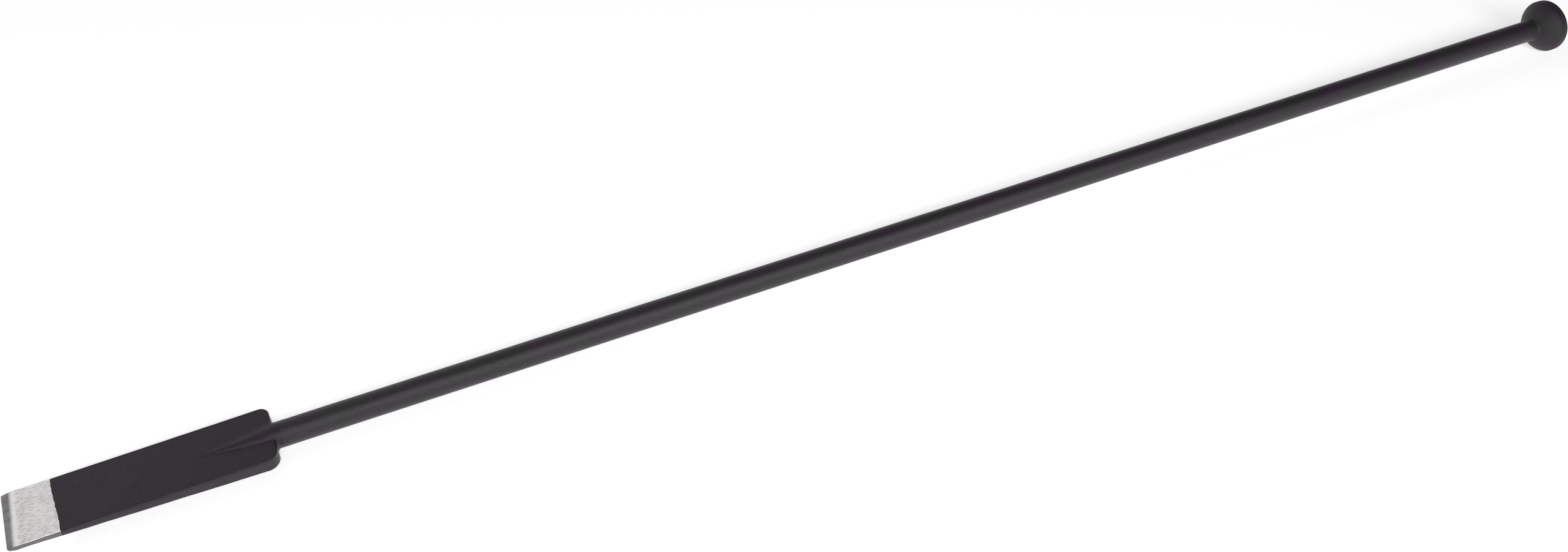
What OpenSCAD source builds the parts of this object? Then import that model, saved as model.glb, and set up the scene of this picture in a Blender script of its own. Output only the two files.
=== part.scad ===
// Long flat chisel bar with a round knob at its rear end.
// X runs along the bar's axis from the cutting edge (0) to the knob, Y across the blade, Z square to it.

/* [Overall] */
// Length from the cutting edge to the knob's flat end
overall_length = 1750; // [1200:10:2000]

/* [Shaft] */
// Diameter of the round bar
shaft_d = 25; // [22:1:28]
// Diameter of the stub turned on the front end, which sits in the blade's neck
front_stub_d = 14; // [10:1:16]
// Length of the front stub
front_stub_length = 30; // [20:1:34]
// Diameter of the stub turned on the rear end, which sits in the knob
rear_stub_d = 18; // [12:1:20]
// Length of the rear stub
rear_stub_length = 22; // [14:1:24]

/* [Blade] */
// Width across the blade
blade_width = 63; // [50:1:90]
// Length from the cutting edge to the square heel
blade_length = 237; // [200:1:300]
// Thickness at the heel
heel_thickness = 15; // [12:0.5:18]
// Plan radius of the two heel corners
heel_corner_r = 10; // [6:1:16]
// Chamfer along the blade's four long edges
edge_chamfer = 0.8; // [0.4:0.1:1.5]
// Length of the tapering spine on each face, measured from the heel
spine_length = 72; // [50:1:110]
// Length of the round neck behind the heel
neck_length = 10; // [8:1:20]
// Radius of the fillet between heel and neck
neck_fillet_r = 4; // [2:0.5:8]

/* [Cutting bit] */
// Length of bare steel from the edge to the blade
bit_length = 45; // [30:1:70]
// Thickness where the ground bevels begin
bit_thickness = 6; // [4:0.5:8]
// Length of the ground bevel on each face
bevel_length = 6.5; // [4:0.5:12]
// Thickness of the land left at the cutting edge
edge_land = 0.8; // [0.4:0.1:1.5]
// Length of the tongue that runs back into the blade
tongue_length = 20; // [10:1:30]
// Thickness of each blade lip over the tongue's root
lip_thickness = 1.2; // [0.8:0.1:1.8]

/* [Knob] */
// Diameter of the knob's rim
knob_d = 60; // [50:1:70]
// Axial depth of the dome on the shaft side
dome_depth = 16; // [10:1:24]
// Exponent of the dome's curve: 1 is a straight cone, 2 a quarter ellipse
dome_fullness = 1.37; // [1.1:0.01:2]
// Width of the straight rim
rim_width = 5.5; // [3:0.5:10]
// Axial depth of the rounding on the outer side
crown_depth = 9; // [5:0.5:12]
// Diameter of the flat end
knob_face_d = 32; // [20:1:40]

/* [Welds] */
// Width of the butt weld at the outside, between neck and shaft
butt_weld_width = 6; // [4:0.5:8]
// How far the dressed butt weld stands proud
butt_weld_proud = 0.2; // [0.1:0.1:0.5]
// Leg of the knob's fillet weld along the shaft
knob_weld_leg = 7; // [4:0.5:10]
// How far the knob's fillet weld is hollowed below a straight line between its toes
knob_weld_hollow = 0.3; // [0.1:0.1:0.4]

/* [Hidden] */
$fn = 96;

black_paint = [0.16, 0.16, 0.17];
bare_steel = [0.78, 0.77, 0.77];

shaft_r = shaft_d / 2;
knob_r = knob_d / 2;
knob_depth = dome_depth + rim_width + crown_depth;
knob_front = overall_length - knob_depth;
neck_end = blade_length + neck_length;
spine_tip = blade_length - spine_length;
thickness_rate = (heel_thickness - bit_thickness) / (blade_length - bevel_length);
wedge_angle = atan(thickness_rate / 2);
tongue_end_thickness = 1.5;
dome_steps = 16;
crown_steps = 12;
fillet_steps = 6;
weld_toe_step = 2;

// Half the blade's thickness at a place along it
function half_thickness(x) = (bit_thickness + thickness_rate * (x - bevel_length)) / 2;

// A [radius, x] point on the knob's dome, for an angle from 0 at the shaft to 90 at the rim
function dome_point(angle) = [
    shaft_r + (knob_r - shaft_r) * pow(sin(angle), 2 / dome_fullness),
    knob_front + dome_depth * (1 - pow(cos(angle), 2 / dome_fullness))
];

// A [radius, x] point on the knob's outer rounding, for an angle from 0 at the rim to 90 at the flat end
function crown_point(angle) = [
    knob_face_d / 2 + (knob_r - knob_face_d / 2) * cos(angle),
    overall_length - crown_depth * (1 - sin(angle))
];

dome_profile = [for (i = [0:dome_steps]) dome_point(90 * i / dome_steps)];
crown_profile = [for (i = [0:crown_steps]) crown_point(90 * i / crown_steps)];
weld_root = [for (i = [0:weld_toe_step]) dome_profile[i]];

// A solid of revolution about the bar's axis, from a list of [radius, x] points
module turned(profile) {
    rotate([0, 90, 0]) rotate_extrude() polygon([for (p = profile) [p[0], p[1]]]);
}

// A straight round bar along the axis
module bar(radius, from, to) {
    translate([from, 0, 0]) rotate([0, 90, 0]) cylinder(r = radius, h = to - from);
}

// A prism across the blade, from a side view given as [x, z] points
module across(side_view, width) {
    rotate([90, 0, 0]) linear_extrude(height = width, center = true) polygon(side_view);
}

// The blade's outline in plan, square at the front and round at the two heel corners
module blade_plan() {
    straight = blade_length - heel_corner_r;
    translate([0, -blade_width / 2]) square([straight, blade_width]);
    translate([0, heel_corner_r - blade_width / 2]) square([blade_length, blade_width - 2 * heel_corner_r]);
    for (side = [-1, 1])
        translate([straight, side * (blade_width / 2 - heel_corner_r)]) circle(r = heel_corner_r);
}

// Chamfer cutters along the four long edges, from one place on the blade to its heel
module long_edge_cutters() {
    size = edge_chamfer * sqrt(2);
    for (side = [-1, 1], face = [-1, 1])
        translate([0, side * blade_width / 2, face * half_thickness(0)])
            rotate([0, -face * wedge_angle, 0])
                rotate([45, 0, 0])
                    translate([-size, -size / 2, -size / 2]) cube([blade_length + 2 * size, size, size]);
}

// One side of the spine: a cone from a point on the face back to the shaft's full round at the heel
module spine_cone(face) {
    rise = half_thickness(spine_tip);
    lean = atan(rise / spine_length);
    slope_length = sqrt(pow(spine_length, 2) + pow(rise, 2));
    translate([spine_tip, 0, face * rise])
        rotate([0, 90 + face * lean, 0])
            cylinder(r1 = 0, r2 = shaft_r, h = slope_length);
}

// The tongue on the bit's back, and the cleft in the blade that it fills
module tongue() {
    root = half_thickness(bit_length) - lip_thickness;
    tip = tongue_end_thickness / 2;
    end = bit_length + tongue_length;
    across([[bit_length, -root], [end, -tip], [end, tip], [bit_length, root]], blade_width);
}

// Quarter-round fillet between the heel and the neck, on the heel's own thickness
module neck_fillet() {
    outer = shaft_r + neck_fillet_r;
    arc = [for (i = [0:fillet_steps])
        let (angle = 90 * i / fillet_steps)
        [outer - neck_fillet_r * sin(angle), blade_length + neck_fillet_r * (1 - cos(angle))]];
    intersection() {
        turned(concat([[shaft_r - 1, blade_length - 1], [outer, blade_length - 1]], arc,
            [[shaft_r - 1, blade_length + neck_fillet_r]]));
        translate([blade_length, 0, 0])
            cube([4 * neck_fillet_r, 2 * outer, heel_thickness], center = true);
    }
}

// Hardened and ground steel at the front, with a bevel on each face
module cutting_bit() {
    land = edge_land / 2;
    shoulder = half_thickness(bevel_length);
    back = half_thickness(bit_length);
    color(bare_steel) union() {
        difference() {
            across([[0, -land], [bevel_length, -shoulder], [bit_length, -back],
                    [bit_length, back], [bevel_length, shoulder], [0, land]], blade_width);
            long_edge_cutters();
        }
        tongue();
    }
}

// Forged blade with the spine on both faces and a round neck
module blade_head() {
    front = half_thickness(bit_length);
    heel = half_thickness(blade_length);
    color(black_paint) difference() {
        union() {
            difference() {
                intersection() {
                    across([[bit_length, -front], [blade_length, -heel],
                            [blade_length, heel], [bit_length, front]], blade_width);
                    translate([0, 0, -heel_thickness])
                        linear_extrude(height = 2 * heel_thickness) blade_plan();
                }
                long_edge_cutters();
            }
            difference() {
                for (face = [-1, 1]) spine_cone(face);
                translate([blade_length, -shaft_d, -shaft_d]) cube(2 * shaft_d);
            }
            neck_fillet();
            bar(shaft_r, blade_length - 0.5, neck_end - butt_weld_width / 2);
            turned([[0, neck_end - butt_weld_width / 2], [shaft_r, neck_end - butt_weld_width / 2],
                    [front_stub_d / 2, neck_end], [0, neck_end]]);
        }
        bar(front_stub_d / 2, neck_end - front_stub_length, neck_end + 1);
        tongue();
    }
}

// Butt weld in the vee between neck and shaft, dressed almost flush
module neck_weld() {
    half = butt_weld_width / 2;
    color(black_paint) turned([[front_stub_d / 2, neck_end], [shaft_r, neck_end - half],
        [shaft_r + butt_weld_proud, neck_end - half / 2], [shaft_r + butt_weld_proud, neck_end + half / 2],
        [shaft_r, neck_end + half]]);
}

// Round bar with a stub turned on each end
module shaft() {
    half = butt_weld_width / 2;
    color(black_paint) union() {
        bar(front_stub_d / 2, neck_end - front_stub_length, neck_end);
        turned([[0, neck_end], [front_stub_d / 2, neck_end], [shaft_r, neck_end + half],
                [shaft_r, knob_front], [0, knob_front]]);
        bar(rear_stub_d / 2, knob_front, knob_front + rear_stub_length);
    }
}

// Fillet weld round the shaft, lying on the knob's dome
module knob_weld() {
    dome_toe = weld_root[weld_toe_step];
    shaft_toe = [shaft_r, knob_front - knob_weld_leg];
    throat = (dome_toe + shaft_toe) / 2 - [knob_weld_hollow, 0];
    color(black_paint) turned(concat(weld_root, [throat, shaft_toe]));
}

// Forged knob: dome towards the shaft, narrow rim, rounded outer side with a flat end
module knob() {
    color(black_paint) difference() {
        turned(concat([[0, knob_front]], dome_profile, crown_profile, [[0, overall_length]]));
        bar(rear_stub_d / 2, knob_front - 1, knob_front + rear_stub_length);
    }
}

cutting_bit();
blade_head();
neck_weld();
shaft();
knob_weld();
knob();
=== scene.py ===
"""Flat chisel bar on a pale studio floor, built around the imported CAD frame. All sizes are in metres.

X runs along the bar from the cutting edge to the knob, Y across the blade and Z square to its faces.
"""

import math
from itertools import combinations, product

import bmesh
import bpy
import numpy as np
from mathutils import Matrix, Vector


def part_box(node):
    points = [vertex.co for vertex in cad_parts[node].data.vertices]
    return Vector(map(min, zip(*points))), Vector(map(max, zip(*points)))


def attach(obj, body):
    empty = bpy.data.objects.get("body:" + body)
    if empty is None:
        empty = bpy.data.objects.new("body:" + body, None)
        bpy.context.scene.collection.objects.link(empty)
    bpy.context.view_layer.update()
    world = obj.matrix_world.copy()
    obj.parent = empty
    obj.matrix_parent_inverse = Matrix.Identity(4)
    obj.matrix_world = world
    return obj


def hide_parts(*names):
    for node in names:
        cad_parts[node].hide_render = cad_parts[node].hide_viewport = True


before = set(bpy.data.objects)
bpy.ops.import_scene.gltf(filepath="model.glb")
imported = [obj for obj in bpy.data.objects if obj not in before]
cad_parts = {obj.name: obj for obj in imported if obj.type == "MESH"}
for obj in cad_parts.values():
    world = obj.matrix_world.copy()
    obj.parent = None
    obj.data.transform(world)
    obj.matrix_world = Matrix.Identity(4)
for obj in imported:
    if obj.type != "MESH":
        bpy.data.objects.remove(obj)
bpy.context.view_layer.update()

MM = 0.001

# ---------------------------------------------------------------- places and sizes from the frame

bit_low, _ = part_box("cutting_bit")
blade_low, blade_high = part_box("blade_head")
neck_weld_low, neck_weld_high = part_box("neck_weld")
_, shaft_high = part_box("shaft")
knob_weld_low, knob_weld_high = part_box("knob_weld")
knob_low, knob_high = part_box("knob")

EDGE_X = bit_low.x
SEAM_X = blade_low.x
HALF_WIDTH = blade_high.y
SHAFT_R = shaft_high.y
NECK_WELD_FRONT = neck_weld_low.x
NECK_WELD_BACK = neck_weld_high.x
NECK_WELD_R = neck_weld_high.y
KNOB_WELD_FRONT = knob_weld_low.x
KNOB_WELD_BACK = knob_weld_high.x
KNOB_WELD_R = knob_weld_high.y
KNOB_FRONT = knob_low.x
KNOB_END = knob_high.x
KNOB_R = knob_high.y

# ---------------------------------------------------------------- sizes that the boxes don't give

# the blade
NECK_LENGTH = 10 * MM
HEEL_X = (NECK_WELD_FRONT + NECK_WELD_BACK) / 2 - NECK_LENGTH
HEEL_HALF_THICKNESS = 7.5 * MM
BEVEL_LENGTH = 6.5 * MM
BEVEL_HALF_THICKNESS = 3.0 * MM
HALF_LAND = 0.4 * MM
WEDGE_RATE = (HEEL_HALF_THICKNESS - BEVEL_HALF_THICKNESS) / (HEEL_X - EDGE_X - BEVEL_LENGTH)

# rounding of the long edges: it grows from the tip to EDGE_R, and a roundness of 2 would be a true arc
EDGE_R = 1.3 * MM
EDGE_R_TIP = 0.15 * MM
EDGE_R_PER_THICKNESS = 0.5
EDGE_R_PER_LENGTH = 0.06
EDGE_ROUNDNESS = 1.45

# small uneven things that hand forging and grinding leave, -Y side first where there are two
HEEL_CORNER_R = (12.5 * MM, 8.5 * MM)
TIP_CORNER_R = (2.4 * MM, 0.6 * MM)
BEVEL_REACH = 7.7 * MM
BEVEL_SKEW = 0.030
BEVEL_BLEND = 0.7 * MM
FRONT_NARROWING = 0.2 * MM
HEEL_FLARE = (1.0 * MM, 0.4 * MM)
HEEL_SKEW = 0.020
SWELL_HEIGHT = 0.09 * MM
RIPPLE_HEIGHT = 0.04 * MM
CALM_NECK = 6 * MM
CALM_TIP = 12 * MM

# the groove that the forging die leaves along each side, just under the edge
FLASH_DEPTH = 0.22 * MM
FLASH_DROP = 2.1 * MM
FLASH_WIDTH = 0.55 * MM
FLASH_START = 55 * MM
FLASH_FULL = 90 * MM

# the spine, with places along it counted from the heel and blends -Y side first
SPINE_LENGTH = 71 * MM
SPINE_DRIFT = 1.7 * MM
SPINE_FACET_ANGLE = math.radians(51)
SPINE_FACET_FULL = -8 * MM
SPINE_FACET_END = 1 * MM
SPINE_BLEND = (0.8 * MM, 3.4 * MM)
SPINE_BLEND_Y = (-4 * MM, 6 * MM)
SPINE_BLEND_START = -SPINE_LENGTH - 4 * MM
SPINE_BLEND_FULL = -0.4 * SPINE_LENGTH
SPINE_BLEND_LEAST = 0.2 * MM

# the fillet between heel and neck
NECK_BLEND = 4.2 * MM
NECK_BLEND_START = -2 * MM
NECK_BLEND_FULL = 0.5 * MM
NECK_BLEND_Z = (9 * MM, 6 * MM)

# the bar, which is round to a few hundredths of a millimetre
ROLLING_LONG = 0.03 * MM
ROLLING_SHORT = 0.02 * MM

# the welds
NECK_WELD_DEPTH = 4 * MM
NECK_WELD_PROUD = 0.3 * (NECK_WELD_R - SHAFT_R)
NECK_WELD_DRESSING = 0.02 * MM
KNOB_WELD_START_R = SHAFT_R - 0.10 * MM
KNOB_WELD_HOLLOW = 4.4
KNOB_WELD_DEPTH = 1.5 * MM
KNOB_WELD_ROOT = 0.6 * MM
KNOB_WELD_BEAD = 0.10 * MM

# the knob
DOME_DEPTH = 16 * MM
DOME_FULLNESS = 1.37
DOME_CROWDING = 1.3
RIM_WIDTH = 5.5 * MM
KNOB_FACE_R = 16 * MM
HAMMERING = 0.06 * MM
HAMMERING_OFFSET = 1.6
HAMMERING_EASE = 6 * MM

# how finely the meshes are made
GRADIENT_STEP = 0.02 * MM
SETTLE_ROUNDS = 3
LEAST_SLOPE = 0.3
GRID_MARGIN = 2 * MM
CUT_MARGIN = 3 * MM
BIT_FRONT_MARGIN = 1.1 * MM
BIT_TOP_MARGIN = 2.5 * MM
BIT_GRID = (0.6 * MM, 0.7 * MM, 0.31 * MM)
BLADE_GRID = (1.1 * MM, 0.75 * MM, 0.5 * MM)
BAR_SEGMENTS, BAR_RINGS = 96, 180
NECK_WELD_STEPS = 10
KNOB_WELD_SEGMENTS, KNOB_WELD_STEPS = 132, 16
KNOB_SEGMENTS, DOME_STEPS, RIM_STEPS, CROWN_STEPS, FACE_STEPS = 144, 40, 3, 24, 5
CREASE_ANGLE = math.radians(60)
FACING = 0.999
SAME_PLACE = 1e-6


# ---------------------------------------------------------------- shapes as distance fields


def smooth_max(a, b, width):
    """The larger of two distances, with a round blend of that width where they meet."""
    overlap = np.maximum(width - np.abs(a - b), 0)
    return np.maximum(a, b) + overlap * overlap / (4 * width)


def smooth_min(a, b, width):
    return -smooth_max(-a, -b, width)


def smooth_step(low, high, value):
    t = np.clip((value - low) / (high - low), 0, 1)
    return t * t * (3 - 2 * t)


def by_side(y, pair):
    """The first of two values on the -Y side, and the second on the +Y side."""
    return np.where(y < 0, *pair)


def half_thickness(x):
    return BEVEL_HALF_THICKNESS + WEDGE_RATE * (x - EDGE_X - BEVEL_LENGTH)


def forging_waves(x, y, z):
    """Swells and ripples 2 to 6 cm long, as forging and dressing leave. The numbers are radians a metre."""
    swell = np.sin(97 * x + 31 * y + 0.7) * np.sin(143 * y + 190 * z + 1.1)
    ripple = np.sin(263 * x - 118 * y + 2.3) * np.sin(211 * y - 301 * z + 0.4)
    return SWELL_HEIGHT * swell + RIPPLE_HEIGHT * ripple


def plate_plan(x, y, z):
    """Distance outside the blade's plan, which has small corners at the tip and large ones at the heel."""
    front_half = x < (EDGE_X + HEEL_X) / 2
    corner_r = np.where(front_half, by_side(y, TIP_CORNER_R), by_side(y, HEEL_CORNER_R))
    widening = (FRONT_NARROWING + by_side(y, HEEL_FLARE)) * (x - EDGE_X) / (HEEL_X - EDGE_X)
    half_width = HALF_WIDTH - FRONT_NARROWING + widening
    heel_x = HEEL_X + HEEL_SKEW * (y + HALF_WIDTH)
    past_end = np.where(front_half, EDGE_X + corner_r - x, x - heel_x + corner_r)
    below_edge = (half_thickness(x) - FLASH_DROP - np.abs(z)) / FLASH_WIDTH
    groove = FLASH_DEPTH * np.exp(-below_edge * below_edge) * smooth_step(FLASH_START, FLASH_FULL, x)
    past_side = np.abs(y) - half_width + groove + corner_r
    outside = np.hypot(np.maximum(past_end, 0), np.maximum(past_side, 0))
    return outside + np.minimum(np.maximum(past_end, past_side), 0) - corner_r


def plate_faces(x, y, z):
    """Distance outside the blade's two faces and two bevels."""
    face = np.abs(z) - half_thickness(x)
    reach = BEVEL_REACH + BEVEL_SKEW * y
    bevel_rate = (half_thickness(EDGE_X + reach) - HALF_LAND) / reach
    bevel = (np.abs(z) - HALF_LAND - bevel_rate * (x - EDGE_X)) / np.hypot(1, bevel_rate)
    return smooth_max(face, bevel, BEVEL_BLEND)


def plate_field(x, y, z):
    """The wedge-shaped blade with its two bevels, square heel and rounded long edges."""
    thickening = np.maximum(half_thickness(x) - BEVEL_HALF_THICKNESS, 0)
    edge_r = EDGE_R_TIP + EDGE_R_PER_THICKNESS * thickening + EDGE_R_PER_LENGTH * np.maximum(x - EDGE_X, 0)
    edge_r = np.minimum(EDGE_R, edge_r)
    a, b = plate_plan(x, y, z) + edge_r, plate_faces(x, y, z) + edge_r
    corner = np.maximum(a, 0) ** EDGE_ROUNDNESS + np.maximum(b, 0) ** EDGE_ROUNDNESS
    return np.minimum(np.maximum(a, b), 0) + corner ** (1 / EDGE_ROUNDNESS) - edge_r


def spine_field(x, y, z):
    """The cone that rises from a point on each face to the round neck, flattened on its -Y side."""
    tip_x = HEEL_X - SPINE_LENGTH
    t = np.minimum((x - tip_x) / SPINE_LENGTH, 1)
    axis_z = half_thickness(tip_x) * (1 - t)
    axis_y = -SPINE_DRIFT * np.clip(4 * t * (1 - t), 0, 1)
    across, up = axis_y - y, np.abs(z) - axis_z
    round_side = np.hypot(across, up)
    facet = across * math.cos(SPINE_FACET_ANGLE) + up * math.sin(SPINE_FACET_ANGLE)
    below_facet = (across > 0) & (up < across * math.tan(SPINE_FACET_ANGLE))
    share = smooth_step(HEEL_X + SPINE_FACET_END, HEEL_X + SPINE_FACET_FULL, x)
    flattened = round_side + (facet - round_side) * share
    return np.where(below_facet, flattened, round_side) - SHAFT_R * t


def spine_border(x, y, z):
    """Width of the blend round the spine: crisp on its -Y side, soft on the other, wide behind the heel."""
    near, far = SPINE_BLEND
    growth = smooth_step(HEEL_X + SPINE_BLEND_START, HEEL_X + SPINE_BLEND_FULL, x)
    border = (near + (far - near) * smooth_step(*SPINE_BLEND_Y, y)) * growth + SPINE_BLEND_LEAST
    behind = smooth_step(HEEL_X + NECK_BLEND_START, HEEL_X + NECK_BLEND_FULL, x)
    return border + (NECK_BLEND - border) * behind * smooth_step(*NECK_BLEND_Z, np.abs(z))


def blade_field(x, y, z):
    """Blade, spine and neck as one forging."""
    whole = smooth_min(plate_field(x, y, z), spine_field(x, y, z), spine_border(x, y, z))
    uneven = smooth_step(HEEL_X + CALM_NECK, HEEL_X, x) * smooth_step(EDGE_X, EDGE_X + CALM_TIP, x)
    return whole + forging_waves(x, y, z) * uneven


# ---------------------------------------------------------------- meshes from fields


def gradient(field, points):
    """Unit outward normals and the field's slope along them, by central differences."""
    slopes = []
    for axis in range(3):
        shift = np.zeros(3)
        shift[axis] = GRADIENT_STEP
        slopes.append(field(*(points + shift).T) - field(*(points - shift).T))
    slopes = np.stack(slopes, -1) / (2 * GRADIENT_STEP)
    length = np.linalg.norm(slopes, axis=1, keepdims=True)
    return slopes / np.maximum(length, 1e-9), length[:, 0]


def cell_points(value, low, steps):
    """A point in each grid cell that the surface crosses, and the number of each cell's point."""
    corner_steps = np.array(list(product((0, 1), repeat=3)))
    cells = np.array(value.shape) - 1
    corners = [value[i:i + cells[0], j:j + cells[1], k:k + cells[2]] for i, j, k in corner_steps]
    total = np.zeros((*cells, 3))
    count = np.zeros(cells)
    for (a, start), (b, end) in combinations(enumerate(corner_steps), 2):
        if np.abs(end - start).sum() != 1:
            continue
        cut = (corners[a] < 0) != (corners[b] < 0)
        share = np.where(cut, corners[a] / np.where(cut, corners[a] - corners[b], 1), 0)
        for axis in range(3):
            total[..., axis] += np.where(cut, start[axis] + share * (end[axis] - start[axis]), 0)
        count += cut
    crossed = count > 0
    number = -np.ones(cells, int)
    number[crossed] = np.arange(crossed.sum())
    mean = total[crossed] / count[crossed][:, None]
    return (np.argwhere(crossed) + mean) * np.array(steps) + np.array(low), number


def crossing_quads(value, number):
    """A quad for each grid line that the surface crosses, between the points of the four cells round it."""
    quads = []
    for axis in range(3):
        u, v = (axis + 1) % 3, (axis + 2) % 3
        low_side = [slice(1, -1)] * 3
        low_side[axis] = slice(0, -1)
        high_side = list(low_side)
        high_side[axis] = slice(1, None)
        low_inside = value[tuple(low_side)] < 0
        high_inside = value[tuple(high_side)] < 0
        for leaving in (True, False):
            base = np.argwhere(low_inside & ~high_inside if leaving else ~low_inside & high_inside)
            base[:, [u, v]] += 1
            ring = []
            for du, dv in ((-1, -1), (0, -1), (0, 0), (-1, 0)):
                cell = base.copy()
                cell[:, u] += du
                cell[:, v] += dv
                ring.append(number[tuple(cell.T)])
            quads.append(np.stack(ring if leaving else ring[::-1], -1))
    return np.concatenate(quads)


def surface_net(field, low, high, steps):
    """Points and quads on the field's zero surface."""
    axes = [np.arange(a, b + s, s) for a, b, s in zip(low, high, steps)]
    value = field(*np.meshgrid(*axes, indexing="ij"))
    points, number = cell_points(value, low, steps)
    quads = crossing_quads(value, number)
    for _ in range(SETTLE_ROUNDS):
        normal, slope = gradient(field, points)
        move = field(*points.T) / np.maximum(slope, LEAST_SLOPE)
        points = points - normal * np.clip(move, -MM, MM)[:, None]
    return points, quads


def new_object(name, bm):
    mesh = bpy.data.meshes.new(name)
    bm.normal_update()
    bm.to_mesh(mesh)
    bm.free()
    mesh.shade_smooth()
    obj = bpy.data.objects.new(name, mesh)
    bpy.context.scene.collection.objects.link(obj)
    return obj


def cut_and_cap(bm, x, keep_above):
    """Cuts the mesh square to X, and closes it there with a flat face."""
    geometry = bm.verts[:] + bm.edges[:] + bm.faces[:]
    bmesh.ops.bisect_plane(bm, geom=geometry, dist=1e-8, plane_co=(x, 0, 0), plane_no=(1, 0, 0),
                           clear_inner=keep_above, clear_outer=not keep_above)
    rim = [e for e in bm.edges if e.is_boundary]
    bmesh.ops.holes_fill(bm, edges=rim, sides=0)


def set_field_normals(obj, field, cap_places):
    """Gives each corner of the mesh the field's own normal, and the flat caps their faces' normals."""
    mesh = obj.data
    points = np.array([v.co for v in mesh.vertices])
    smooth, _ = gradient(field, points)
    corner_normals = []
    for face in mesh.polygons:
        facing_x = abs(face.normal.x) > FACING
        on_cap = facing_x and any(abs(face.center.x - x) < SAME_PLACE for x in cap_places)
        for v in face.vertices:
            corner_normals.append(tuple(face.normal) if on_cap else tuple(smooth[v]))
    mesh.normals_split_custom_set(corner_normals)


def forged_piece(name, low, high, steps, cuts):
    """A closed mesh of the blade. Each cut is an X place, and whether the side above it is kept."""
    points, quads = surface_net(blade_field, low, high, steps)
    bm = bmesh.new()
    verts = [bm.verts.new(p) for p in points]
    for quad in quads:
        bm.faces.new([verts[i] for i in quad])
    for x, keep_above in cuts:
        cut_and_cap(bm, x, keep_above)
    obj = new_object(name, bm)
    set_field_normals(obj, blade_field, [x for x, _ in cuts])
    return obj


def make_bit():
    high = (SEAM_X + GRID_MARGIN, HALF_WIDTH + GRID_MARGIN, BEVEL_HALF_THICKNESS + BIT_TOP_MARGIN)
    low = (EDGE_X - BIT_FRONT_MARGIN, -high[1], -high[2])
    return forged_piece("ground_bit", low, high, BIT_GRID, [(SEAM_X, False)])


def make_blade():
    high = (NECK_WELD_FRONT + CUT_MARGIN, HALF_WIDTH + GRID_MARGIN, SHAFT_R + GRID_MARGIN)
    low = (SEAM_X - CUT_MARGIN, -high[1], -high[2])
    cuts = [(SEAM_X, True), (NECK_WELD_FRONT, False)]
    return forged_piece("forged_blade", low, high, BLADE_GRID, cuts)


# ---------------------------------------------------------------- turned meshes


def crease(obj):
    """Keeps sharp edges crisp, and shades the rest smoothly."""
    bm = bmesh.new()
    bm.from_mesh(obj.data)
    for edge in bm.edges:
        edge.smooth = not edge.is_manifold or edge.calc_face_angle(0) < CREASE_ANGLE
    bm.to_mesh(obj.data)
    bm.free()


def turned_ring(bm, x, radius, segments, uneven):
    """The verts round X at one place on the profile, or a single one on the axis."""
    if radius == 0:
        return [bm.verts.new((x, 0, 0))]
    ring = []
    for i in range(segments):
        angle = 2 * math.pi * i / segments
        r = radius + uneven(x, angle)
        ring.append(bm.verts.new((x, r * math.cos(angle), r * math.sin(angle))))
    return ring


def turned_piece(name, profile, segments, uneven, closed_profile=False):
    """A solid of revolution about X from (x, radius) points. uneven(x, angle) is added to the radius."""
    bm = bmesh.new()
    rings = [turned_ring(bm, x, radius, segments, uneven) for x, radius in profile]
    pairs = list(zip(rings, rings[1:]))
    if closed_profile:
        pairs.append((rings[-1], rings[0]))
    for a, b in pairs:
        for i in range(segments):
            j = (i + 1) % segments
            corners = [a[i % len(a)], a[j % len(a)], b[j % len(b)], b[i % len(b)]]
            corners = list(dict.fromkeys(corners))
            if len(corners) > 2:
                bm.faces.new(corners)
    bmesh.ops.recalc_face_normals(bm, faces=bm.faces[:])
    obj = new_object(name, bm)
    crease(obj)
    return obj


def between_places(start, end, steps):
    """(share, place) pairs at even steps from one place to another, both ends included."""
    return [(i / steps, start + (end - start) * i / steps) for i in range(steps + 1)]


def make_shaft():
    def rolling(x, angle):
        return ROLLING_LONG * math.sin(23 * x + angle) + ROLLING_SHORT * math.sin(61 * x + 2 * angle + 1)

    places = between_places(NECK_WELD_BACK, KNOB_FRONT, BAR_RINGS)
    profile = [(NECK_WELD_BACK, 0)] + [(x, SHAFT_R) for _, x in places] + [(KNOB_FRONT, 0)]
    return turned_piece("round_bar", profile, BAR_SEGMENTS, rolling)


def make_neck_weld():
    """A dressed butt weld: a low crown that fades into the bar on both sides."""
    def dressing(x, angle):
        return NECK_WELD_DRESSING * math.sin(7 * angle + 900 * x)

    inner = SHAFT_R - NECK_WELD_DEPTH
    profile = [(NECK_WELD_FRONT, inner)]
    for t, x in between_places(NECK_WELD_FRONT, NECK_WELD_BACK, NECK_WELD_STEPS):
        profile.append((x, SHAFT_R + NECK_WELD_PROUD * math.sin(math.pi * t) ** 2))
    profile.append((NECK_WELD_BACK, inner))
    return turned_piece("neck_weld_bead", profile, BAR_SEGMENTS, dressing, closed_profile=True)


def make_knob_weld():
    """A thin fillet weld, hollow in section, that flares from the bar onto the knob's dome."""
    def bead(x, angle):
        share = (x - KNOB_WELD_FRONT) / (KNOB_WELD_BACK - KNOB_WELD_FRONT)
        return KNOB_WELD_BEAD * max(share, 0) * math.sin(11 * angle + 3 * math.sin(3 * angle))

    flare = KNOB_WELD_R - KNOB_WELD_START_R
    places = between_places(KNOB_WELD_FRONT, KNOB_WELD_BACK, KNOB_WELD_STEPS)
    profile = [(x, KNOB_WELD_START_R + flare * t ** KNOB_WELD_HOLLOW) for t, x in places]
    inner = SHAFT_R - KNOB_WELD_DEPTH
    profile += [(KNOB_WELD_BACK + KNOB_WELD_ROOT, inner), (KNOB_WELD_FRONT, inner)]
    return turned_piece("knob_weld_bead", profile, KNOB_WELD_SEGMENTS, bead, closed_profile=True)


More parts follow.
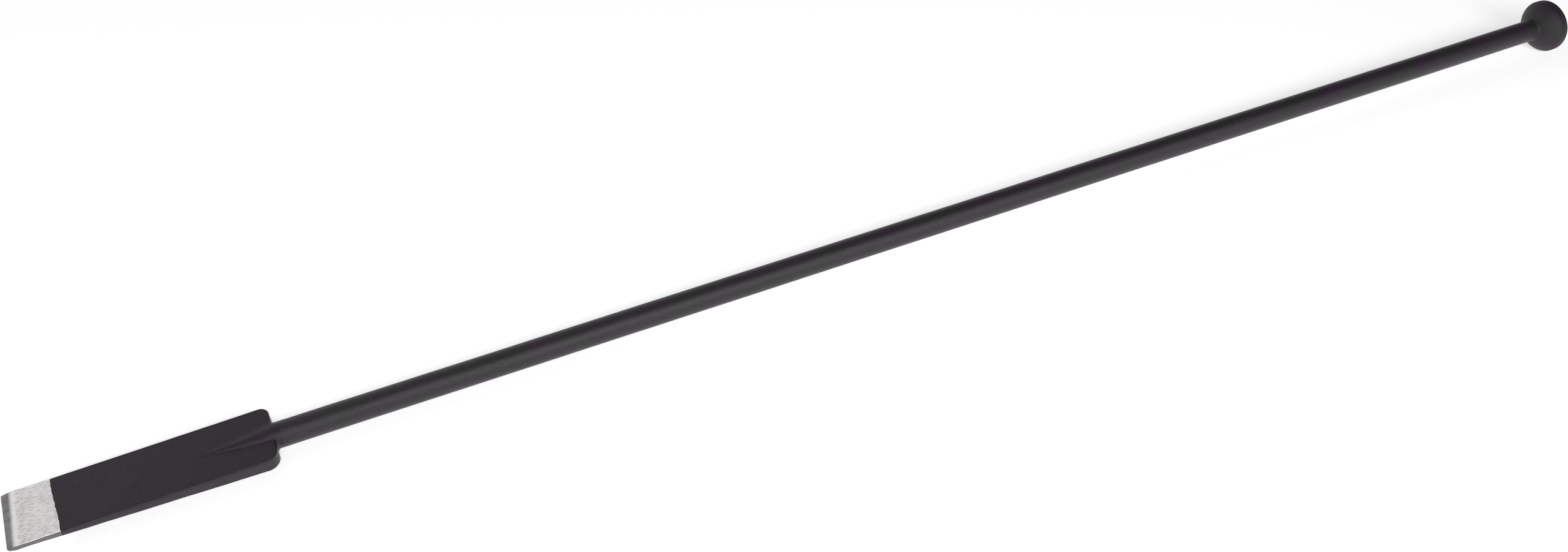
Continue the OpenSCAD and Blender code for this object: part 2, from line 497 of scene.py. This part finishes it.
def dome_point(angle):
    """(x, radius) on the knob's dome, from 0 at the shaft to a quarter turn at the rim."""
    power = 2 / DOME_FULLNESS
    rise = (KNOB_R - SHAFT_R) * math.sin(angle) ** power
    depth = DOME_DEPTH * (1 - max(math.cos(angle), 0) ** power)
    return KNOB_FRONT + depth, SHAFT_R + rise


def crown_point(angle):
    """(x, radius) on the knob's outer rounding, from 0 at the rim to a quarter turn at the flat end."""
    rim_end = KNOB_FRONT + DOME_DEPTH + RIM_WIDTH
    depth = (KNOB_END - rim_end) * math.sin(angle)
    return rim_end + depth, KNOB_FACE_R + (KNOB_R - KNOB_FACE_R) * math.cos(angle)


def make_knob():
    def hammering(x, angle):
        soft = math.sin(3 * angle + 160 * x) + 0.6 * math.sin(5 * angle - 240 * x + 1.2)
        ease = min(1, max(0, (x - KNOB_FRONT) / HAMMERING_EASE))
        return -HAMMERING * (HAMMERING_OFFSET + soft) * ease

    quarter = math.pi / 2
    rim_front = KNOB_FRONT + DOME_DEPTH
    profile = [(KNOB_FRONT, 0)]
    profile += [dome_point(quarter * (i / DOME_STEPS) ** DOME_CROWDING) for i in range(DOME_STEPS + 1)]
    profile += [(rim_front + RIM_WIDTH * i / RIM_STEPS, KNOB_R) for i in range(1, RIM_STEPS)]
    profile += [crown_point(quarter * i / CROWN_STEPS) for i in range(CROWN_STEPS + 1)]
    profile += [(KNOB_END, KNOB_FACE_R * (1 - i / FACE_STEPS)) for i in range(1, FACE_STEPS + 1)]
    return turned_piece("forged_knob", profile, KNOB_SEGMENTS, hammering)


# ---------------------------------------------------------------- materials


class Nodes:
    """A short way to write a node tree. Places and heights in it are in millimetres."""

    def __init__(self, name):
        self.material = bpy.data.materials.new(name)
        self.material.use_nodes = True
        self.tree = self.material.node_tree
        self.shader = self.tree.nodes["Principled BSDF"]
        place = self.tree.nodes.new("ShaderNodeTexCoord")
        self.place = self.vector("SCALE", place.outputs["Object"], scale=1 / MM)

    def link(self, value, socket):
        if isinstance(value, bpy.types.NodeSocket):
            self.tree.links.new(value, socket)
        else:
            socket.default_value = value

    def surface(self, **values):
        """Links or sets the shader's sockets, each named with _ for a space."""
        for name, value in values.items():
            self.link(value, self.shader.inputs[name.replace("_", " ")])

    def math(self, operation, *values, clamp=False):
        node = self.tree.nodes.new("ShaderNodeMath")
        node.operation = operation
        node.use_clamp = clamp
        for value, socket in zip(values, node.inputs):
            self.link(value, socket)
        return node.outputs[0]

    def add(self, a, b, clamp=False):
        return self.math("ADD", a, b, clamp=clamp)

    def minus(self, a, b):
        return self.math("SUBTRACT", a, b)

    def times(self, a, b, clamp=False):
        return self.math("MULTIPLY", a, b, clamp=clamp)

    def vector(self, operation, *values, scale=None):
        node = self.tree.nodes.new("ShaderNodeVectorMath")
        node.operation = operation
        for value, socket in zip(values, node.inputs):
            self.link(value, socket)
        if scale is not None:
            self.link(scale, node.inputs["Scale"])
        return node.outputs[0]

    def axis(self, letter):
        node = self.tree.nodes.new("ShaderNodeSeparateXYZ")
        self.link(self.place, node.inputs[0])
        return node.outputs[letter]

    def noise(self, size, stretch=1, detail=2.0, roughness=0.5, distortion=0.0):
        """Noise from 0 to 1, its features about that many millimetres across and stretched along X."""
        node = self.tree.nodes.new("ShaderNodeTexNoise")
        scales = (1 / (size * stretch), 1 / size, 1 / size)
        self.link(self.vector("MULTIPLY", self.place, scales), node.inputs["Vector"])
        node.inputs["Scale"].default_value = 1.0
        node.inputs["Detail"].default_value = detail
        node.inputs["Roughness"].default_value = roughness
        node.inputs["Distortion"].default_value = distortion
        return node.outputs[0]

    def wander(self, size, stretch, reach, detail):
        """Noise that swings to both sides of 0, over a full range of that reach."""
        return self.times(self.minus(self.noise(size, stretch, detail), 0.5), reach)

    def spread(self, value, low, high, to_low=0.0, to_high=1.0):
        """Maps the range low to high onto another range, and clamps it there."""
        node = self.tree.nodes.new("ShaderNodeMapRange")
        for number, socket in zip((value, low, high, to_low, to_high), node.inputs):
            self.link(number, socket)
        return node.outputs[0]

    def mix(self, share, a, b):
        """A colour between a and b."""
        node = self.tree.nodes.new("ShaderNodeMix")
        node.data_type = "RGBA"
        sockets = [s for s in node.inputs if s.type == "RGBA"]
        self.link(share, node.inputs[0])
        self.link(a, sockets[0])
        self.link(b, sockets[1])
        return [s for s in node.outputs if s.type == "RGBA"][0]

    def between(self, share, a, b):
        """A number between a and b."""
        node = self.tree.nodes.new("ShaderNodeMix")
        self.link(share, node.inputs[0])
        self.link(a, node.inputs[2])
        self.link(b, node.inputs[3])
        return node.outputs[0]

    def bump(self, height):
        """A normal from a height in millimetres."""
        node = self.tree.nodes.new("ShaderNodeBump")
        node.inputs["Strength"].default_value = 1.0
        node.inputs["Distance"].default_value = MM
        self.link(height, node.inputs["Height"])
        return node.outputs[0]


# the part of a noise's range that it fills most of the time
NOISE_RANGE = (0.3, 0.7)

# the coating: purplish black on the blade, with neutral patches that take over along the bar
PAINT_PURPLE = (0.0215, 0.0120, 0.0235, 1)
PAINT_NEUTRAL = (0.0170, 0.0165, 0.0170, 1)
PATCH_SIZE, PATCH_STRETCH, PATCH_RANGE = 22, 1.6, (0.42, 0.58)
PATCH_SHARE = (0.35, 1.0)
PATCH_START, PATCH_FULL = HEEL_X / MM - 40, HEEL_X / MM + 50
SPECK_SIZE, SPECK_TINT = 0.8, (0.45, 1.6)
GRAIN_SIZE, GRAIN_HEIGHT = 0.55, 0.28
PEEL_SIZE, PEEL_HEIGHT = 2.2, 0.14
PAINT_ROUGHNESS = (0.34, 0.48)

# the ground steel: streaks and scratches along the blade, painted highlight as a bright strip behind each
# bevel with a band of painted shade after it, and painted shade darkening the bevels and the sides
STEEL_DARK = (0.50, 0.475, 0.47, 1)
STEEL_LIGHT = (1.0, 0.985, 0.98, 1)
# painted shade: the sides of the bit get this darker steel colour
SHADED_SIDE_STEEL = (0.175, 0.165, 0.165, 1)
# painted shade: the bevels get darker steel colours than the faces
SHADED_BEVEL_DARK = (0.135, 0.13, 0.135, 1)
SHADED_BEVEL_LIGHT = (0.36, 0.345, 0.35, 1)
STEEL_METALLIC = 0.55
STEEL_ROUGHNESS = (0.55, 0.42)
STREAK_SIZE, STREAK_STRETCH, STREAK_HEIGHT = 0.5, 9, 0.14
SCRATCH_SIZE, SCRATCH_STRETCH, SCRATCH_HEIGHT = 0.3, 12, 0.06
CLOUD_SIZE, CLOUD_STRETCH, CLOUD_SHADE = 6, 2, (-0.15, 0.2)
FACE_STREAK_RANGE, FACE_STREAK_SHADE = (0.33, 0.57), (0.0, 1.15)
BEVEL_STREAK_RANGE, BEVEL_SHADE = (0.35, 0.65), (0.0, 0.5)
FACE_START, FACE_FULL = -2.4, 1.4
# painted highlight: the strip behind each bevel is made lighter in colour
STRIP_END, STRIP_FULL, HIGHLIGHT_STRIP_SHADE = 4.5, 2.0, 0.6
STRIP_WANDER_SIZE, STRIP_WANDER_STRETCH, STRIP_WANDER = 1.5, 2.5, 9
SHADOW_START, SHADOW_FULL, SHADOW_END = (3.0, 6.0), 9.0, 20.0
SHADOW_SHADE = -0.2
SIDE_START, SIDE_FULL = HALF_WIDTH / MM - 0.55, HALF_WIDTH / MM - 0.30

# the line where the coating begins: it bows across the blade and is ragged
LINE_X = 44.2
LINE_BOW, LINE_BOW_CENTRE, LINE_BOW_WIDTH = 1.35, -2.0, 12.0
LINE_RAGGED_SIZE, LINE_RAGGED_STRETCH, LINE_RAGGED = 3.2, 4, 2.2
LINE_SHARPNESS = 8.0
COAT_THICKNESS = 0.08


def paint_parts(n, extra_roughness):
    """Colour, roughness and height of the black coating: fine grain over a slow orange peel."""
    patch = n.spread(n.noise(PATCH_SIZE, PATCH_STRETCH), *PATCH_RANGE)
    neutral = n.times(patch, n.spread(n.axis("X"), PATCH_START, PATCH_FULL, *PATCH_SHARE))
    speck = n.spread(n.noise(SPECK_SIZE, detail=1), *NOISE_RANGE, *SPECK_TINT)
    colour = n.vector("SCALE", n.mix(neutral, PAINT_PURPLE, PAINT_NEUTRAL), scale=speck)
    grain = n.noise(GRAIN_SIZE, roughness=0.6)
    peel = n.noise(PEEL_SIZE, detail=1)
    roughness = n.spread(grain, *NOISE_RANGE, *[r + extra_roughness for r in PAINT_ROUGHNESS])
    height = n.add(n.times(grain, GRAIN_HEIGHT), n.times(peel, PEEL_HEIGHT))
    return colour, roughness, height


def face_shade(n, streak, cloud, past_bevel, on_face):
    """How light the steel's faces are: streaks, a painted highlight strip behind the bevel and a band of
    painted shade next to it.
    """
    shade = n.add(n.spread(streak, *FACE_STREAK_RANGE, *FACE_STREAK_SHADE),
                  n.spread(cloud, *NOISE_RANGE, *CLOUD_SHADE))
    shadow = n.times(n.spread(past_bevel, *SHADOW_START),
                     n.spread(past_bevel, SHADOW_END, SHADOW_FULL, 0.0, SHADOW_SHADE))
    # painted highlight: a bright strip just behind the bevel
    wander = n.wander(STRIP_WANDER_SIZE, STRIP_WANDER_STRETCH, STRIP_WANDER, detail=3)
    strip = n.times(on_face, n.spread(n.add(past_bevel, wander), STRIP_END, STRIP_FULL))
    return n.add(n.add(shade, shadow), n.times(strip, HIGHLIGHT_STRIP_SHADE), clamp=True)


def steel_parts(n):
    """Colour, roughness and height of ground steel: lengthwise scratches, with painted shade making the
    bevels and the sides darker.
    """
    streak = n.noise(STREAK_SIZE, STREAK_STRETCH, detail=3, roughness=0.7, distortion=0.05)
    scratch = n.noise(SCRATCH_SIZE, SCRATCH_STRETCH, roughness=0.6)
    cloud = n.noise(CLOUD_SIZE, CLOUD_STRETCH)
    bevel_end = n.add(n.times(n.axis("Y"), BEVEL_SKEW), BEVEL_REACH / MM)
    past_bevel = n.minus(n.axis("X"), bevel_end)
    on_face = n.spread(past_bevel, FACE_START, FACE_FULL)
    painted_shade_side = n.spread(n.math("ABSOLUTE", n.axis("Y")), SIDE_START, SIDE_FULL)

    face_colour = n.mix(face_shade(n, streak, cloud, past_bevel, on_face), STEEL_DARK, STEEL_LIGHT)
    # painted shade: the bevels are coloured darker than the faces
    bevel_shade = n.add(n.spread(streak, *BEVEL_STREAK_RANGE, *BEVEL_SHADE),
                        n.spread(cloud, *NOISE_RANGE, *BEVEL_SHADE))
    shaded_bevel_colour = n.mix(bevel_shade, SHADED_BEVEL_DARK, SHADED_BEVEL_LIGHT)
    # painted shade on the sides of the bit
    colour = n.mix(painted_shade_side, n.mix(on_face, shaded_bevel_colour, face_colour), SHADED_SIDE_STEEL)
    roughness = n.spread(streak, *NOISE_RANGE, *STEEL_ROUGHNESS)
    height = n.add(n.times(streak, STREAK_HEIGHT), n.times(scratch, SCRATCH_HEIGHT))
    return colour, roughness, height


def make_paint(name, extra_roughness, shine):
    n = Nodes(name)
    colour, roughness, height = paint_parts(n, extra_roughness)
    n.surface(Base_Color=colour, Roughness=roughness, Normal=n.bump(height), Specular_IOR_Level=shine)
    return n.material


def coating_share(n):
    """0 on the bare steel in front, and 1 behind a ragged line that curves across the blade."""
    across = n.math("DIVIDE", n.minus(n.axis("Y"), LINE_BOW_CENTRE), LINE_BOW_WIDTH)
    bow = n.times(n.math("TANH", across), LINE_BOW)
    ragged = n.wander(LINE_RAGGED_SIZE, LINE_RAGGED_STRETCH, LINE_RAGGED, detail=4)
    line = n.add(n.minus(LINE_X, bow), ragged)
    return n.times(n.minus(n.axis("X"), line), LINE_SHARPNESS, clamp=True)


def make_blade_finish(name, extra_roughness, shine):
    """Bare steel and coating in one material, for the bit and the blade."""
    n = Nodes(name)
    coated = coating_share(n)
    paint_colour, paint_roughness, paint_height = paint_parts(n, extra_roughness)
    steel_colour, steel_roughness, steel_height = steel_parts(n)
    height = n.add(n.between(coated, steel_height, paint_height), n.times(coated, COAT_THICKNESS))
    n.surface(
        Base_Color=n.mix(coated, steel_colour, paint_colour),
        Metallic=n.between(coated, STEEL_METALLIC, 0.0),
        Roughness=n.between(coated, steel_roughness, paint_roughness),
        Normal=n.bump(height),
        Specular_IOR_Level=shine,
    )
    return n.material


def make_floor_material():
    n = Nodes("pale_floor")
    n.surface(
        Base_Color=(0.80, 0.80, 0.80, 1),
        Roughness=0.9,
        Specular_IOR_Level=0.1,
        Emission_Color=(1, 1, 1, 1),
        Emission_Strength=0.55,
    )
    return n.material


# ---------------------------------------------------------------- the object

bar_paint = make_paint("black_coating", extra_roughness=0.0, shine=0.48)
knob_paint = make_paint("black_coating_matt", extra_roughness=0.14, shine=0.40)
blade_finish = make_blade_finish("ground_and_coated", extra_roughness=-0.05, shine=0.36)

PIECES = [
    (make_bit, "cutting_bit", "ground_steel", blade_finish),
    (make_blade, "blade_head", "black_paint", blade_finish),
    (make_neck_weld, "neck_weld", "black_paint", bar_paint),
    (make_shaft, "shaft", "black_paint", bar_paint),
    (make_knob_weld, "knob_weld", "black_paint", knob_paint),
    (make_knob, "knob", "black_paint", knob_paint),
]

for make, node, slot, material in PIECES:
    piece = make()
    piece.data.materials.append(material)
    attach(piece, "root")
    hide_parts(node)

# ---------------------------------------------------------------- floor

FLOOR_SIZE = 80.0
KNOB_REST_BACK = 12 * MM


def make_floor():
    """A wide plane, tilted so that the knob's rim and the bar's neck both rest on it."""
    back = Vector((KNOB_END - KNOB_REST_BACK, 0, -KNOB_R))
    front = Vector((HEEL_X, 0, -SHAFT_R))
    bm = bmesh.new()
    bmesh.ops.create_grid(bm, x_segments=1, y_segments=1, size=FLOOR_SIZE / 2)
    floor = new_object("floor", bm)
    floor.location = back
    floor.rotation_euler = (0, math.atan2(front.z - back.z, back.x - front.x), 0)
    floor.data.materials.append(make_floor_material())


make_floor()

# ---------------------------------------------------------------- light and camera

# the world's brightness at each height on its ramp, and how it dims towards the knob's end
WORLD_LEVELS = ((0.0, 0.80), (0.26, 0.46), (0.57, 0.26), (0.87, 0.08), (1.0, 0.03))
WORLD_DIMMER_X = (0.1, 0.8)
WORLD_DIMMER = (1.0, 0.35)

# each softbox: name, its left and right ends, its height, the point that it faces and its radiance
SOFTBOXES = [
    ("front_softbox", (-0.3, -1.18, 1.65), (2.1, -1.71, 1.09), 0.5, (0.6, 0, 0), 7.9),
    ("back_softbox", (-1.4, 1.5, 1.75), (0.9, 1.6, 1.75), 1.7, (0.15, 0, 0), 0.62),
    ("left_softbox", (-1.4, 1.4, 1.25), (-0.7, 1.6, 1.25), 0.6, (0, 0, 0), 2.6),
]

# the angles are in degrees: the heading from +X towards +Y, and how far down the camera looks
CAMERA_PLACE = (0.31873, -0.98061, 1.15297)
CAMERA_HEADING = 66.187
CAMERA_DOWN = 47.255
CAMERA_LENS = 35.644
CAMERA_SENSOR = 36.0
CAMERA_CLIP = (0.05, 200.0)


def make_world():
    """A dim studio, dark overhead and dimmer towards the knob's end of the room."""
    world = bpy.data.worlds.new("studio")
    bpy.context.scene.world = world
    world.use_nodes = True
    tree = world.node_tree
    background = tree.nodes["Background"]
    place = tree.nodes.new("ShaderNodeTexCoord")
    split = tree.nodes.new("ShaderNodeSeparateXYZ")
    ramp = tree.nodes.new("ShaderNodeValToRGB")
    dimmer = tree.nodes.new("ShaderNodeMapRange")
    for value, socket in zip(WORLD_DIMMER_X + WORLD_DIMMER, dimmer.inputs[1:5]):
        socket.default_value = value
    tree.links.new(place.outputs["Generated"], split.inputs[0])
    tree.links.new(split.outputs["Z"], ramp.inputs[0])
    tree.links.new(split.outputs["X"], dimmer.inputs["Value"])
    tree.links.new(ramp.outputs[0], background.inputs["Color"])
    tree.links.new(dimmer.outputs[0], background.inputs["Strength"])
    while len(ramp.color_ramp.elements) < len(WORLD_LEVELS):
        ramp.color_ramp.elements.new(0.5)
    for element, (height, level) in zip(ramp.color_ramp.elements, WORLD_LEVELS):
        element.position = height
        element.color = (level, level, level, 1)


def add_softbox(name, left, right, height, target, radiance):
    """A strip of even light between two points, that high, facing the target."""
    left, right, target = Vector(left), Vector(right), Vector(target)
    light = bpy.data.lights.new(name, "AREA")
    light.shape = "RECTANGLE"
    light.size, light.size_y = (right - left).length, height
    light.energy = radiance * math.pi * light.size * light.size_y
    obj = bpy.data.objects.new(name, light)
    bpy.context.scene.collection.objects.link(obj)
    along = (right - left).normalized()
    centre = (left + right) / 2
    back = centre - target
    back = (back - along * back.dot(along)).normalized()
    obj.location = centre
    obj.rotation_euler = Matrix((along, back.cross(along), back)).transposed().to_euler()
    obj.visible_camera = False


def add_camera():
    """The photograph's viewpoint: close to the blade, looking down at the bar and along it."""
    data = bpy.data.cameras.new("camera")
    data.sensor_width = CAMERA_SENSOR
    data.lens = CAMERA_LENS
    data.clip_start, data.clip_end = CAMERA_CLIP
    obj = bpy.data.objects.new("camera", data)
    bpy.context.scene.collection.objects.link(obj)
    obj.location = CAMERA_PLACE
    obj.rotation_euler = (math.radians(90 - CAMERA_DOWN), 0, math.radians(CAMERA_HEADING - 90))
    bpy.context.scene.camera = obj


make_world()
for softbox in SOFTBOXES:
    add_softbox(*softbox)
add_camera()
bpy.context.scene.view_settings.view_transform = "Standard"
